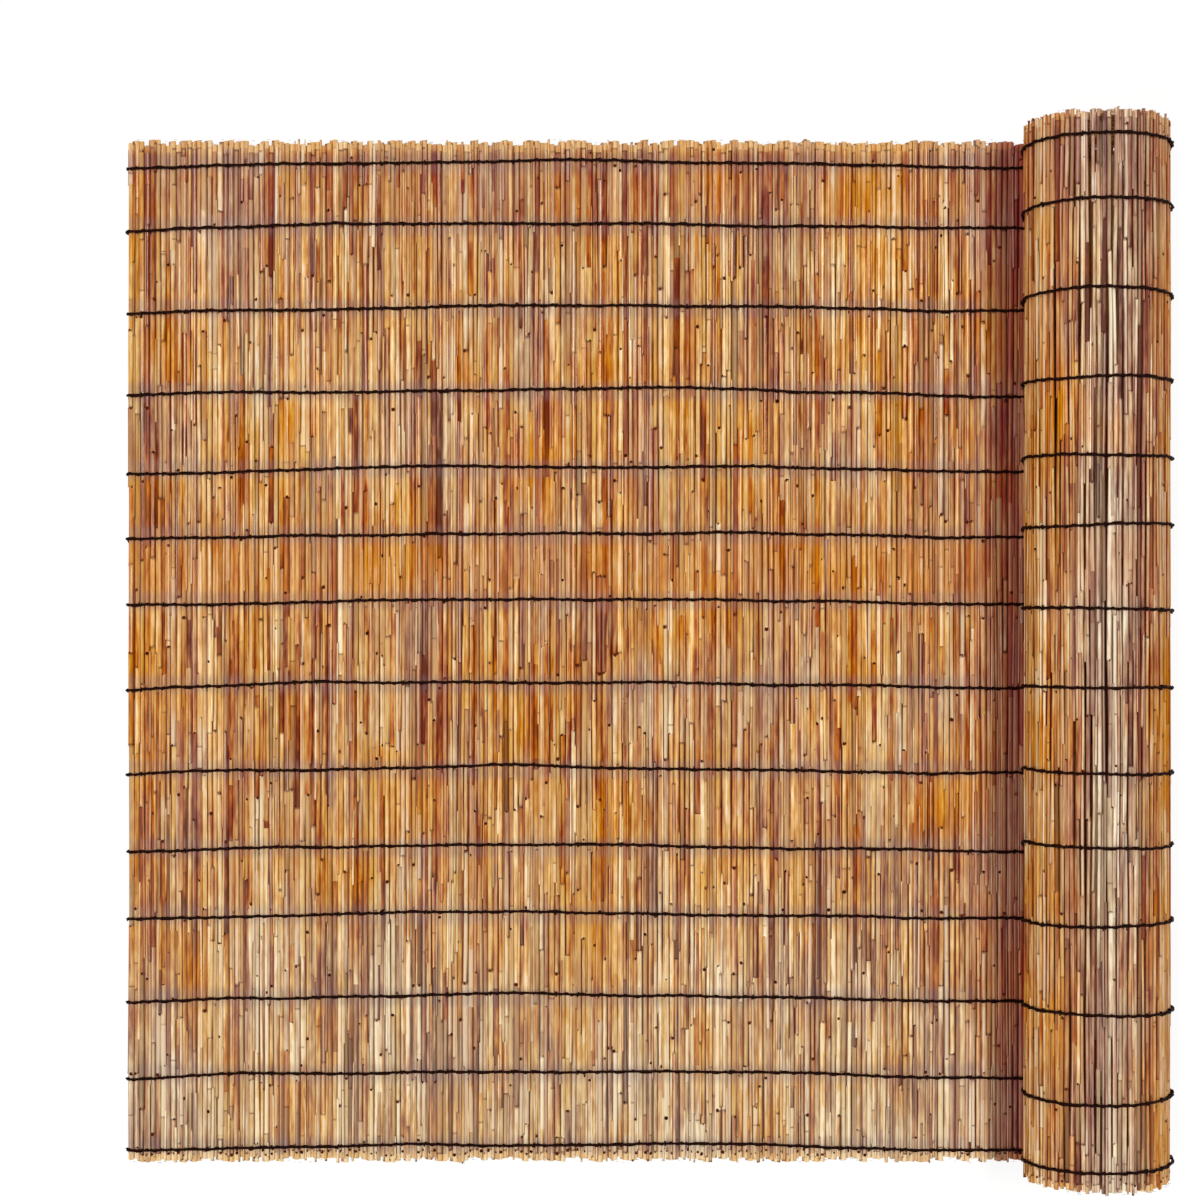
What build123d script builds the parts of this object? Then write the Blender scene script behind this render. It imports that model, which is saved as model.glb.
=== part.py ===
from build123d import *

import math
import os
import random
from itertools import count, cycle

# A reed screening mat, partly unrolled. Reeds lie side by side along Y, and rows of wire
# along X hold them from above and below. One end lies flat on the floor, and the other
# end is rolled up on top of it at +X. The origin is on the floor, in the middle of the
# footprint. Sizes are in millimetres.

# The mat
mat_length = 3000.0  # along the wires, with nothing rolled
mat_height = 1000.0  # along the reeds
unrolled_length = 930.0  # the stretch that lies flat, up to under the roll's middle
core_diameter = 24.0  # the smallest hollow that the reeds roll up to

# The reeds
reed_diameter = 5.0
reed_spread = 0.5  # how much thicker or thinner one reed may be
reed_bore = 2.8  # the hollow that shows at the cut ends
bore_depth = 40.0  # from a cut end to the first closed joint of the stalk
joint_gap = 220.0  # from one joint of a stalk to the next, about
joint_shift = 35.0  # how far a joint may lie from its even place
joint_width = 2.0  # along the stalk
joint_swell = 0.15  # how far the stalk is slimmer than its joints, all round
ragged_edge = 6.0  # how far a reed may end short of the mat's edge
reed_clearance = 0.1  # between neighbours that lie flat
reed_bite = 0.25  # how far neighbours press into each other in the roll
reeds_per_strip = 8
reed_seed = 11

# The binding wires
wire_diameter = 1.2
seat_clearance = 0.05  # between a wire and the thickest reed
pair_clearance = 0.2  # between the upper and the lower wire of a row, seen from above
turn_clearance = 0.2  # between the wires of one turn and the reeds of the next
wire_lap = 20.0  # the upper wire's tail, bent round the first reed and laid under the mat
first_row = 24.5  # from the mat's upper edge to the first row
last_row = 10.0  # the least distance from the last row to the lower edge
row_gaps = [60.8, 80.4, 81.3, 75.5, 64.7, 64.7, 81.3, 83.3, 76.4, 65.7, 80.4, 74.5, 71.5]

# What follows from those sizes
thickest_reed = reed_diameter + reed_spread
reed_floor = wire_diameter + seat_clearance  # the reeds' undersides
mat_middle = reed_floor + thickest_reed / 2
wire_offset = thickest_reed / 2 + seat_clearance + wire_diameter / 2
turn_pitch = thickest_reed + seat_clearance + wire_diameter + turn_clearance
row_spread = wire_diameter + pair_clearance

# The roll is wound in half turns, each tighter than the last by half the turn pitch. The
# right halves share one centre and the left halves another, so that each half runs
# smoothly into the next.
rolled_length = mat_length - unrolled_length
core_radius = (core_diameter + thickest_reed) / 2
step = turn_pitch / 2
slack = core_radius - step / 2
half_turns = int((math.sqrt(slack**2 + 2 * step * rolled_length / math.pi) - slack) / step)
first_radius = rolled_length / (math.pi * half_turns) + (half_turns - 1) * step / 2
right_centre = mat_middle + first_radius
left_centre = right_centre + step

# Along X, the box reaches from the wires' bends to the roll's outermost wire.
roll_reach = first_radius + wire_offset + wire_diameter / 2
edge_reach = seat_clearance + wire_diameter
overall_length = edge_reach + unrolled_length + roll_reach
mat_start = edge_reach - overall_length / 2
roll_middle = mat_start + unrolled_length
first_reed = mat_start + thickest_reed / 2


def wire_rows():
    """Where the rows cross the reeds, from the upper edge down."""
    rows = []
    below_edge = first_row
    for gap in cycle(row_gaps):
        if below_edge > mat_height - last_row:
            return rows
        rows.append(mat_height / 2 - below_edge)
        below_edge += gap


def reed_diameters():
    """Diameters of the reeds from the free edge on. The wires bend round the first, a thick one."""
    sizes = random.Random(reed_seed)
    yield thickest_reed
    while True:
        yield round(sizes.uniform(reed_diameter - reed_spread, thickest_reed), 2)


def stalk_joints(lower_end, upper_end, chance):
    """Heights of a stalk's closed joints: one behind each cut end, and the rest about evenly between."""
    first, last = lower_end + bore_depth, upper_end - bore_depth
    gaps = max(1, round((last - first) / joint_gap))
    even = [first + (last - first) * number / gaps for number in range(1, gaps)]
    return [first, *(height + chance.uniform(-joint_shift, joint_shift) for height in even), last]


def flat_reed(x, diameter, lower_end, upper_end, joints):
    """One reed that lies flat: a stalk turned about its axis, with a ring that stands out at each joint. It
    is hollow from each cut end to the first joint."""
    full = diameter / 2
    slim = full - joint_swell
    bore = reed_bore / 2
    rings = []
    for joint in joints:
        below, above = joint - joint_width / 2, joint + joint_width / 2
        rings += [(slim, below), (full, below), (full, above), (slim, above)]
    section = Polyline(
        (0, joints[0]),
        (bore, joints[0]),
        (bore, lower_end),
        (slim, lower_end),
        *rings,
        (slim, upper_end),
        (bore, upper_end),
        (bore, joints[-1]),
        (0, joints[-1]),
        close=True,
    )
    return Pos(x, 0, reed_floor + full) * revolve(make_face(section), Axis.Y)


def flat_reeds(sizes):
    """The reeds that lie flat, from the free edge to under the roll's middle."""
    chance = random.Random(reed_seed)
    reeds = []
    edge = mat_start
    diameter = next(sizes)
    while edge + diameter <= roll_middle:
        lower_end = -mat_height / 2 + chance.uniform(0, ragged_edge)
        upper_end = mat_height / 2 - chance.uniform(0, ragged_edge)
        joints = stalk_joints(lower_end, upper_end, chance)
        reeds.append(flat_reed(edge + diameter / 2, diameter, lower_end, upper_end, joints))
        edge += diameter + reed_clearance
        diameter = next(sizes)
    return reeds


def rolled_place(run):
    """The point that lies so far along the roll's middle line, and the direction out of the roll there."""
    for turn in range(half_turns):
        radius = first_radius - turn * step
        if run <= math.pi * radius or turn == half_turns - 1:
            break
        run -= math.pi * radius
    side = 1 if turn % 2 == 0 else -1
    centre = Vector(roll_middle, 0, right_centre if side == 1 else left_centre)
    outwards = Vector(math.sin(run / radius), 0, -math.cos(run / radius)) * side
    return centre + outwards * radius, outwards


def rolled_circles(sizes):
    """Centre, radius and outward direction of each reed in the roll, from the outermost to the core."""
    circles = []
    diameter = next(sizes)
    run = diameter / 2 + reed_clearance
    while run + diameter / 2 <= rolled_length:
        centre, outwards = rolled_place(run)
        circles.append((centre, diameter / 2, outwards))
        following = next(sizes)
        run += (diameter + following) / 2 - reed_bite
        diameter = following
    return circles


def crossings(circle, following):
    """Where two neighbouring reeds of the roll meet: on its outer side, then on its inner side."""
    (centre, radius, outwards), (next_centre, next_radius, _) = circle, following
    apart = (next_centre - centre).length
    along = (apart**2 + radius**2 - next_radius**2) / (2 * apart)
    across = math.sqrt(radius**2 - along**2)
    forwards = (next_centre - centre).normalized()
    sideways = Vector(forwards.Z, 0, -forwards.X)
    if sideways.dot(outwards) < 0:
        sideways = -sideways
    middle = centre + forwards * along
    return middle + sideways * across, middle - sideways * across


def rolled_turns(sizes):
    """All turns of the roll as one solid: the outline of a chain of reeds, drawn out."""
    circles = rolled_circles(sizes)
    meets = [crossings(a, b) for a, b in zip(circles, circles[1:])]
    (first, first_r, _), (last, last_r, _) = circles[0], circles[-1]
    start = first - (circles[1][0] - first).normalized() * first_r
    end = last + (last - circles[-2][0]).normalized() * last_r
    outer = [
        ThreePointArc(before[0], centre + outwards * radius, after[0])
        for (centre, radius, outwards), before, after in zip(circles[1:-1], meets, meets[1:])
    ]
    inner = [
        ThreePointArc(before[1], centre - outwards * radius, after[1])
        for (centre, radius, outwards), before, after in zip(circles[1:-1], meets, meets[1:])
    ]
    start_cap = ThreePointArc(meets[0][0], start, meets[0][1])
    end_cap = ThreePointArc(meets[-1][0], end, meets[-1][1])
    outline = make_face([start_cap, *outer, end_cap, *inner])
    return Pos(0, -mat_height / 2, 0) * extrude(outline, mat_height, dir=(0, 1, 0))


def wire_along(path):
    """A round wire along a path."""
    return sweep(Plane(path @ 0, z_dir=path % 0) * Circle(wire_diameter / 2), path)


def half_bend(centre, radius, side, down):
    """Half a circle about an axis along Y, on its +X or -X side, from its top down or its bottom up."""
    ends = [centre + Vector(0, 0, radius), centre - Vector(0, 0, radius)]
    begin, finish = ends if down else reversed(ends)
    return ThreePointArc(begin, centre + Vector(side * radius, 0, 0), finish)


def upper_wire():
    """The wire on top of the mat: from under the roll to the free edge, round the first reed and below."""
    height = mat_middle + wire_offset
    tail = Vector(first_reed, 0, mat_middle - wire_offset)
    run = Line((roll_middle, 0, height), (first_reed, 0, height))
    bend = half_bend(Vector(first_reed, 0, mat_middle), wire_offset, side=-1, down=True)
    lap = Line(tail, tail + Vector(wire_lap, 0, 0))
    return wire_along(Wire([run.edge(), bend.edge(), lap.edge()]))


def lower_wire():
    """The wire under the mat: along the floor, then once round the outside of the roll and into its nip."""
    height = mat_middle - wire_offset
    run = Line((mat_start, 0, height), (roll_middle, 0, height))
    radius = first_radius + wire_offset
    up = half_bend(Vector(roll_middle, 0, right_centre), radius, side=1, down=False)
    down = half_bend(Vector(roll_middle, 0, left_centre), radius - step, side=-1, down=True)
    return wire_along(Wire([run.edge(), up.edge(), down.edge()]))


def write(node, solids):
    """Writes one node of the mat, made of one or more solids."""
    export_step(Compound(label=node, children=solids), os.path.join("parts", node + ".step"))


os.makedirs("parts", exist_ok=True)
sizes = reed_diameters()

reeds = flat_reeds(sizes)
for number in range(0, len(reeds), reeds_per_strip):
    write(f"reed_strip_{number // reeds_per_strip + 1:02d}", reeds[number : number + reeds_per_strip])

write("rolled_turns", [rolled_turns(sizes)])

upper, lower = upper_wire(), lower_wire()
for number, row in zip(count(1), wire_rows()):
    write(f"upper_wire_{number:02d}", [Pos(0, row + row_spread / 2, 0) * upper])
    write(f"lower_wire_{number:02d}", [Pos(0, row - row_spread / 2, 0) * lower])

roll_height = mat_middle + 2 * first_radius + wire_offset + wire_diameter / 2
core_hollow = 2 * (first_radius - (half_turns - 1) * step) - thickest_reed
print(f"{len(reeds)} flat reeds, {len(wire_rows())} wire rows, {half_turns / 2} turns")
print(f"{overall_length:.1f} long, roll {roll_height:.1f} high, core hollow {core_hollow:.1f}")
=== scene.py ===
import math
import random
from functools import reduce

import bpy
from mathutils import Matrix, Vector


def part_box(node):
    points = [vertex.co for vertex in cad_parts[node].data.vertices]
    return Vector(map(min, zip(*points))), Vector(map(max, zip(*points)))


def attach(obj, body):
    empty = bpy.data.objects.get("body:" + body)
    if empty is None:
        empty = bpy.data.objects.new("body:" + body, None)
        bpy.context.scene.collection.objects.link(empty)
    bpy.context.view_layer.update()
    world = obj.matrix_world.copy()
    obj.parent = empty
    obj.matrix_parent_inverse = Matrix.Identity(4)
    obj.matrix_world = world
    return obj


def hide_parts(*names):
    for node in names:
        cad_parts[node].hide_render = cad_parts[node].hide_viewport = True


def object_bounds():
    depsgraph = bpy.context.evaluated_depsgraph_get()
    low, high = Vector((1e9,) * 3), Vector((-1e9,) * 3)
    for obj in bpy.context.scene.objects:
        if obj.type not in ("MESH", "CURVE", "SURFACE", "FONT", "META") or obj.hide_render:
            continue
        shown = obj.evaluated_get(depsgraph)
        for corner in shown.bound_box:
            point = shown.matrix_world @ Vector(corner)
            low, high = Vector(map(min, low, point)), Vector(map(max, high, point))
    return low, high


# A reed screening mat, partly unrolled on a pale floor. Every reed is grown as a chain of
# stalk lengths with joints between them. The binding wires run over and under the reeds,
# each with a thin strand wound round it, and knots. Sizes are in metres.

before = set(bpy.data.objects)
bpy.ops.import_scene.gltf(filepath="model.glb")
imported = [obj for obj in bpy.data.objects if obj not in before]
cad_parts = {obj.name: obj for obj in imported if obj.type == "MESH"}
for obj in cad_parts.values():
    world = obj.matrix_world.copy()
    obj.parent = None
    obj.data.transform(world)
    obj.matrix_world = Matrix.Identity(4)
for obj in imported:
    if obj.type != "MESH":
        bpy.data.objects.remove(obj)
cad_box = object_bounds()

# Sizes as in the solids: the roll's winding and the reeds' joints
TURN_PITCH = 0.00695
HALF_TURNS = 16
JOINT_SWELL = 0.00015  # how far the solid reeds are slimmer between their joints

# The stalks
JOINT_NEAR, JOINT_FAR = 0.07, 0.18  # shortest and longest stretch between two joints
SHORTEST_LENGTH = 0.0005  # what is left of a length at a cut end
STALK_THICK, STALK_WIDE = (0.86, 1.02), (0.78, 1.24)  # how a length's sizes differ, as shares of its radius
SCAR_SIZE = (0.45, 0.95)  # of the scar on a joint, as shares of the stalk's radius
SCAR_ASIDE = 0.7  # how far round the stalk a scar may lie, in radians
MOUTH_DEPTH = 0.007  # the open end of a reed
MOUTH_SHARE = 0.97  # its radius, as a share of the reed's
MOUTH_TONE = 0.8
RAGGED_EDGE = 0.006  # how far a reed may end short of the mat's edge
BEND_STEPS = (7.31, 5.0, 3.7)  # how far apart reeds, heights and seeds lie in the noise that bends reeds
BEND_OUT = 0.4  # how far reeds bend out of the mat, as a share of how far they bend sideways

# The reeds in the grooves and under them
THIN_REED, THICKER_REED = 0.0008, 0.0018  # radii of the thin reeds in the grooves
GROOVE_SINK = 0.0005  # how far a thin reed is pressed down between its neighbours
NEIGHBOUR_TONE = 0.4  # how far a thin reed takes after its neighbour in tone
UNDER_REED = 0.0013  # half the height of the flattened reeds under the grooves
UNDER_MIDDLE = 0.00156  # how high their middles lie
UNDER_WIDTH = 1.75  # how much wider than high they are
# Their darker, redder tone is painted shade in the gaps between the reeds above
UNDER_SHADE_TONE, UNDER_SHADE_RED = -0.4, 0.15

# The reeds in the roll
SPREAD_REED = 0.0021  # mean radius on the outside of the roll, where the reeds spread
CORE_REED = 0.00245  # mean radius inside
REED_SPREAD = 0.00025  # how much thicker or thinner one reed may be
CREST_GAP = 0.08  # how much thinner the reeds on the crest are, so that gaps open between them
CREST_REACH = 0.75  # how far round the roll, in radians, its greyed crest reaches
LEFT_EDGE, LEFT_EDGE_REACH = 1.25, 0.25  # how far round the roll its left edge lies and reaches, where a painted light pales the reeds
ROLL_RAGGED = 0.7  # how ragged the roll's ends are, as a share of the flat edges

# How reeds differ from end to end: in tone, greyness, redness, gold and bleaching. Some of it is painted:
# shade on the flat reeds beside the roll, and light on the roll's left edge
DARK_REEDS, DARK_TONE = 0.04, (-0.5, -0.2)  # the share of reeds that are dark red, and how dark
NIP_SHADE_REACH = 0.045  # the stretch of flat reeds beside the roll that is darker, greyer and redder, as painted shade of the roll
# How much darker, greyer and redder that painted shade makes them
NIP_SHADE_DARK, NIP_SHADE_GREY, NIP_SHADE_RED = 0.3, 0.2, 0.55
ROLL_CONTRAST, CREST_CONTRAST = 1.7, 0.6
LEFT_TONE, RIGHT_TONE = -0.1, 0.05  # on the roll's two flanks
# How much darker the roll's crest is, and how much a painted light pales its left edge
CREST_DARK, LEFT_EDGE_PAINTED_LIGHT = 1.3, 0.4
CREST_GREYNESS, ROLL_FRESH = 1.2, 0.4
RIGHT_RUDDY = 0.18
ROLL_GOLD, CORE_GOLD = 0.6, 0.3
ROLL_BLEACH = 0.15
REED_VALUES = ("radius", "low", "high", "turn", "reed_tone", "weather", "ruddy", "gold", "bleach")

# What differs by chance from one length of stalk to the next
LENGTH_CHANCES = (
    "tone",
    "grey",
    "gloss",
    "joint",
    "sheath",
    "sheath_tone",
    "left_edge",
    "right_edge",
    "streak",
)

# How the mat's colour changes from its upper edge down
RUDDY_ABOVE, RUDDY_TOP = (0.38, 0.44), 0.17
GOLDEN_FROM, GOLDEN_TO = (0.036, 0.056), (0.105, 0.125)
BLEACHED_BELOW = (-0.5, -0.1)
WIRE_SHADE_REACH = (0.004, 0.013)  # how far from a binding wire a painted shade greys and darkens the reeds
PALE_TIPS = (0.483, 0.494)  # how far from the mat's middle the cut ends grow pale

# Marks in the skin: how many to a metre across and along, their detail, and how they change the tone
SKIN_MARKS = {
    "fibres": (1100.0, 9.0, 3.0, 0.5),
    "flecks": (330.0, 55.0, 2.0, 0.7),
    "blotches": (170.0, 20.0, 3.0, 1.15),
    "stains": (75.0, 8.0, 2.0, 0.5),
}
PATCHES = (11.0, 8.0, 11.0)  # larger patches of greyer and of warmer reeds
PATCH_FADES = 0.42  # how much weaker in colour the greyer patches are

# The skin's tone, from 0 for dark to 1 for pale
MIDDLE_TONE, LENGTH_CONTRAST, REED_CONTRAST = 0.53, 0.52, 0.4
SHEATH_MIDDLE, SHEATH_CONTRAST = 0.55, 0.7
BLEACH_LIGHT, BLEACH_CONTRAST = 0.14, 0.5
GREYNESS_CONTRAST, GREYNESS_FADES = 0.3, 0.25
CONTRAST_ABOUT = 0.57
SHEATH_SPREAD, SHEATH_BEFORE = 1.1, 0.4  # how far sheaths' ends spread along a length, from how far before it
SHEATH_BLUR, SHEATH_SOFTEST = 0.0015, 0.03

# How grey the skin is, from fresh to greyed; beside the roll the grey is partly painted shade
STAIN_GREY, PATCH_GREY, BLEACH_GREY = 0.8, 1.8, 0.3
GREYING = (0.5, 1.1)
MOST_GREY, GOLD_SPARED = 0.85, 0.4

# Where marks begin and end, by place or by the chances of a length of stalk
OCHRE_FROM, OCHRE_FIBRES = (0.05, 0.3), 0.5
TINTED_LENGTHS = (0.6, 0.95)
# A painted highlight: a pale line along glossier lengths, how far round the stalk it may lie, how wide it is,
# and on which lengths
HIGHLIGHT_SPREAD, HIGHLIGHT_WIDTH, HIGHLIGHTED_LENGTHS = 1.5, (0.08, 0.3), (0.3, 0.9)
WARM_PATCHES = (0.0, 0.25)
SHEATH_EDGE, EDGED_SHEATHS = (0.0002, 0.0014), (0.2, 0.5)
RING_WIDTH, RINGED_JOINTS = (0.0005, 0.003), (0.4, 1.0)
TAIL_LENGTH, TAIL_SIDE, TAILED_JOINTS = (0.002, 0.035), (0.1, 0.6), (0.5, 0.8)
RIGHT_SIDE = (-0.2, 0.2)
# The painted shade in the grooves, low on the sides of each stalk: how it fades with facing, how deep it
# goes, and how much the stains vary it
GROOVE_FACING, GROOVE_DEPTH, GROOVE_SHADE_BY_STAINS = (0.15, 0.76), (0.22, 0.8), 0.6
GLOSSY_LENGTHS, GLOSSY_TOP, MOST_GLOSS = (0.2, 1.0), (0.55, 0.95), 0.6

# Colours as read off a screen, at tones from dark to pale
FRESH_REED = (
    (0.0, (106, 30, 4)),
    (0.16, (148, 60, 16)),
    (0.34, (186, 104, 36)),
    (0.52, (207, 145, 68)),
    (0.7, (226, 176, 98)),
    (0.88, (247, 208, 144)),
    (1.0, (255, 234, 194)),
)
GREYED_REED = (
    (0.0, (92, 42, 26)),
    (0.25, (142, 90, 66)),
    (0.5, (180, 138, 106)),
    (0.75, (212, 180, 138)),
    (1.0, (248, 230, 194)),
)

# Tints: how strong each is, and its colour
OCHRE_BLOTCH = 0.4, (210, 140, 50)
MAUVE_LENGTH = 0.4, (166, 102, 84)
KHAKI_LENGTH = 0.4, (202, 170, 104)
# A painted highlight streak along the stalks
PAINTED_HIGHLIGHT_STREAK = 0.5, (254, 220, 164)
GOLDEN_PATCH = 0.25, (214, 134, 26)
GOLDEN_BAND = 0.28, (202, 118, 18)
RUDDY_REED = 1.0, (148, 42, 54)
BLEACHED_REED = 0.2, (200, 196, 172)
# Painted shade beside the binding wires
WIRE_PAINTED_SHADE = 0.3, (138, 116, 120)
PALE_TIP = 0.4, (240, 202, 146)
SHEATH_END = 0.6, (104, 38, 8)
JOINT_RING = 0.75, (84, 22, 4)
JOINT_TAIL = 0.6, (92, 22, 2)
# Painted shade low in the grooves between the reeds
GROOVE_PAINTED_SHADE = 0.95, (128, 30, 2)
SCAR_DARK, SCAR_BROWN = (52, 12, 4), (92, 34, 12)
WIRE_COAT, WIRE_DUST = (22, 4, 1), (50, 16, 8)

# How the skin and the wires' coat shine
SKIN_ROUGH, BLOTCH_ROUGH, GROOVE_ROUGH = 0.5, 0.5, 0.5
WIRE_ROUGH, DUST_ROUGH = 0.55, 0.3
DUST_SCALE, DUST_SEEN = 420.0, (0.45, 0.8)
COAT_ROUGH = 0.2
DULL_SPECULAR = 0.06
BUMP_STRENGTH = 0.3
FIBRE_HEIGHT, DUST_HEIGHT = 0.0003, 0.0002

# The binding wires
WIRE_RADIUS = 0.0012
WIRE_SIDES, STRAND_SIDES = 7, 5
STRAND_RADIUS = 0.0006  # the thinner wire wound round each binding wire
STRAND_TURN, STRAND_STEPS = 0.016, 8
STRAND_SEAT = 0.6  # how far out of the wire the strand lies, as a share of its radius
STRAND_UNEVEN, STRAND_CHANGES = 22.0, 30.0  # how unevenly it is wound, and how often that changes in a metre
KNOT_STEP = 0.021
KNOT_SHARE, KNOT_SIZE, KNOT_SLANT = 0.6, (0.85, 1.25), (-0.6, 0.9)
WIRE_WANDER, WANDER_BENDS = 0.013, 4.5  # how far a wire strays, and how often in a metre
WIRE_STEPS = (5.17, 2.3)  # how far rows and seeds lie apart in the noise that bends them
WIRE_LAP = 0.02  # the upper wire's tail, bent round the first reed
NIP_ANGLE = 0.25  # where the outer wire goes out of sight between the roll and the flat
BOW_RISE, BOW_CURVE = 0.002, 0.033  # how far the rows on the flat rise in their middle, and bend from there
BOW_MIDDLE, BOW_END = 0.45, 0.85  # where along the flat stretch they rise most, and stop bending

# How far up each row lies on the roll's crest, because the roll is wound askew
ASKEW_ROWS = (
    0.002, 0.003, -0.001, 0.0, 0.005, 0.005, -0.009,
    -0.001, 0.005, 0.012, 0.007, 0.005, -0.002, 0.006,
)

# The room, and its lamps: energy, how wide one looks, how far right and up it stands, in degrees
FLOOR_REACH = 6.0
FLOOR_GAP = 0.0002  # between the floor and the mat
FLOOR_GREY, FLOOR_GLOW, FLOOR_WHITE = 0.86, 1.03, 0.85
ROOM_LIGHT, ROOM_TINT = 0.32, (0.97, 0.98, 1.0, 1)
WHITE = (1, 1, 1, 1)
LAMP_TINT = (1.0, 0.98, 0.94)
LAMPS = {
    "key_lamp": (1.56, 12, 16, 8),
    "fill_lamp": (1.3, 40, -46, -10),
}

# The photograph's frame: floor scale, and the pixel that the mat's left edge and middle fall on
IMAGE_WIDTH, IMAGE_HEIGHT = 1179, 1200
METRES_PER_PIXEL = 0.00098
LEFT_EDGE_PIXEL = 129.5
MAT_MIDDLE_PIXEL = 651
CAMERA_HEIGHT = 2.2
SENSOR = 36.0

# Where the solids are
reed_nodes = sorted(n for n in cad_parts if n.startswith("reed_strip"))
upper_nodes = sorted(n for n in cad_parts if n.startswith("upper_wire"))
lower_nodes = sorted(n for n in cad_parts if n.startswith("lower_wire"))
upper_low, upper_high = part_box(upper_nodes[0])
lower_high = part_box(lower_nodes[0])[1]
mat_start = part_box(reed_nodes[0])[0].x
mat_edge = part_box("rolled_turns")[1].y
mat_middle = (upper_low.z + upper_high.z) / 2
roll_middle = upper_high.x
first_radius = (lower_high.z - 2 * mat_middle) / 2
roll_left = roll_middle - first_radius


class Value:
    """A node's output. Arithmetic on it adds Math nodes to its tree."""

    def __init__(self, tree, socket):
        self.tree = tree
        self.socket = socket

    def math(self, operation, *inputs):
        return self.tree.node("ShaderNodeMath", {"operation": operation}, inputs)

    def __add__(self, other):
        return self.math("ADD", self, other)

    def __sub__(self, other):
        return self.math("SUBTRACT", self, other)

    def __rsub__(self, other):
        return self.math("SUBTRACT", other, self)

    def __mul__(self, other):
        return self.math("MULTIPLY", self, other)

    def __truediv__(self, other):
        return self.math("DIVIDE", self, other)

    def __neg__(self):
        return self.math("MULTIPLY", self, -1.0)

    def __abs__(self):
        return self.math("ABSOLUTE", self)

    def __lt__(self, other):
        return self.math("LESS_THAN", self, other)

    def __gt__(self, other):
        return self.math("GREATER_THAN", self, other)

    def least(self, other):
        return self.math("MINIMUM", self, other)

    def most(self, other):
        return self.math("MAXIMUM", self, other)

    def cosine(self):
        return self.math("COSINE", self)

    def sine(self):
        return self.math("SINE", self)

    __radd__ = __add__
    __rmul__ = __mul__


class Tree:
    """A node tree that is being built."""

    def __init__(self, tree):
        self.nodes = tree.nodes
        self.links = tree.links

    def node(self, kind, settings=None, inputs=(), outputs=None):
        """Adds a node. Inputs are values or links, in order or by name; outputs names those to return."""
        node = self.nodes.new(kind)
        for name, value in (settings or {}).items():
            if name == "stops":
                self.set_stops(node.color_ramp, value)
            else:
                setattr(node, name, value)
        open_inputs = [s for s in node.inputs if s.enabled]
        if isinstance(inputs, dict):
            by_name = {s.name: s for s in reversed(open_inputs)}
            pairs = [(by_name[name], value) for name, value in inputs.items()]
        else:
            pairs = zip(open_inputs, inputs)
        for socket, value in pairs:
            for one in value if isinstance(value, list) else [value]:
                if isinstance(one, Value):
                    self.links.new(one.socket, socket)
                else:
                    socket.default_value = one
        open_outputs = [s for s in node.outputs if s.enabled]
        if outputs is None:
            return Value(self, open_outputs[0]) if open_outputs else None
        found = {s.name: Value(self, s) for s in reversed(open_outputs)}
        return [found[name] for name in outputs]

    @staticmethod
    def set_stops(ramp, stops):
        while len(ramp.elements) < len(stops):
            ramp.elements.new(0.5)
        for element, (position, rgb) in zip(ramp.elements, stops):
            element.position = position
            element.color = colour(rgb)


def colour(rgb):
    """A colour as read off a screen, from 0 to 255, in linear light."""
    parts = (c / 255 for c in rgb)
    return (*(c / 12.92 if c <= 0.04045 else ((c + 0.055) / 1.055) ** 2.4 for c in parts), 1.0)


def link(name, data):
    """A new object in the scene, with its mesh, lamp or camera."""
    piece = bpy.data.objects.new(name, data)
    bpy.context.scene.collection.objects.link(piece)
    return piece


def keep(mesh, name, values):
    """Keeps a number for each point of a mesh."""
    mesh.attributes.new(name, "FLOAT", "POINT").data.foreach_set("value", values)


def geometry_tree(name, sizes):
    """A geometry tree with named inputs. Returns the group, its tree and its inputs by name."""
    group = bpy.data.node_groups.new(name, "GeometryNodeTree")
    sockets = {"Geometry": "NodeSocketGeometry", **sizes}
    for label, kind in sockets.items():
        group.interface.new_socket(label, in_out="INPUT", socket_type=kind)
    group.interface.new_socket("Geometry", in_out="OUTPUT", socket_type="NodeSocketGeometry")
    tree = Tree(group)
    values = tree.node("NodeGroupInput", outputs=list(sockets))
    return group, tree, dict(zip(sockets, values))


def grow(name, start, group, sizes):
    """Runs a geometry tree on a starting mesh and keeps the result as a plain mesh."""
    seedling = link(name + "_start", start)
    modifier = seedling.modifiers.new(name, "NODES")
    modifier.node_group = group
    for item in group.interface.items_tree:
        if item.in_out == "INPUT" and item.name in sizes:
            modifier[item.identifier] = sizes[item.name]
    grown = seedling.evaluated_get(bpy.context.evaluated_depsgraph_get())
    mesh = bpy.data.meshes.new_from_object(grown)
    bpy.data.objects.remove(seedling)
    mesh.name = name
    return link(name, mesh)


def turned(name, profile, sides, closed=False, sharp=0.7):
    """A shape turned about Y from (along, radius) points. Each point keeps its place along and round it."""
    rings, vertices, angles = [], [], []
    for along, radius in profile:
        count = sides if radius else 1
        rings.append(range(len(vertices), len(vertices) + count))
        for i in range(count):
            angle = 2 * math.pi * i / sides
            vertices.append((radius * math.sin(angle), along, radius * math.cos(angle)))
            angles.append(angle)
    faces = []
    bands = list(zip(rings, rings[1:])) + ([(rings[-1], rings[0])] if closed else [])
    for a, b in bands:
        for i in range(sides):
            j = (i + 1) % sides
            corners = [a[i % len(a)], a[j % len(a)], b[j % len(b)], b[i % len(b)]]
            faces.append(list(dict.fromkeys(corners)))
    mesh = bpy.data.meshes.new(name)
    mesh.from_pydata(vertices, [], faces, shade_flat=False)
    keep(mesh, "along", [min(max(v[1], 0.0), 1.0) for v in vertices])
    keep(mesh, "facing", [math.cos(angle) for angle in angles])
    keep(mesh, "side", [math.sin(angle) for angle in angles])
    mesh.set_sharp_from_angle(angle=sharp)
    return link(name, mesh)


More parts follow.
